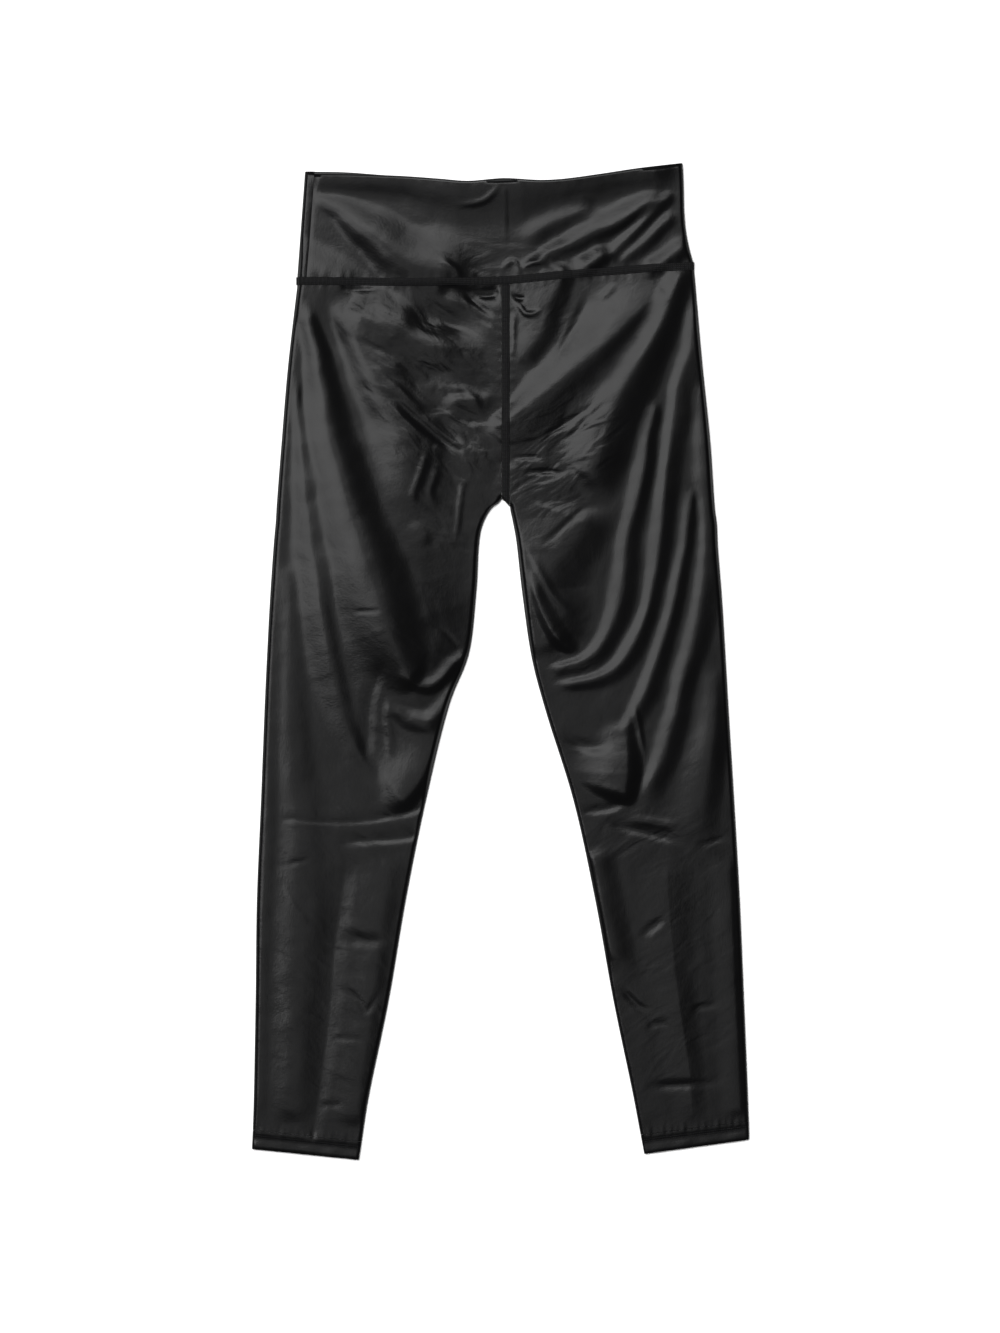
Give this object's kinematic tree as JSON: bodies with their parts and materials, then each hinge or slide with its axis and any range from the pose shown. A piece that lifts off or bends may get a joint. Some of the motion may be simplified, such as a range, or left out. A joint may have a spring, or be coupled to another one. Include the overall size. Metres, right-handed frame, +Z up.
{
  "type": "leather trousers",
  "caption": "High-waisted pull-on trousers of black coated stretch cloth with a deep plain waistband and tapered legs, laid flat with the front up.",
  "frame": {"origin": "on the surface that the trousers lie on, under the middle of their outline", "axes": "+Y along the garment towards the waist, +X towards the wearer's left, +Z up from the surface out of the front"},
  "size_m": [0.4672, 0.9352, 0.0114],
  "materials": {
    "coated_cloth": "satin black coated stretch knit, softly glossy",
    "seam_thread": "matte black flat-seam stitching"
  },
  "bodies": {
    "root": {"leg_right": "coated_cloth", "leg_left": "coated_cloth", "waistband_front": "coated_cloth", "waistband_back": "coated_cloth", "hem_right": "coated_cloth", "hem_left": "coated_cloth", "waist_seam": "seam_thread", "rise_seam": "seam_thread"}
  },
  "joints": []
}
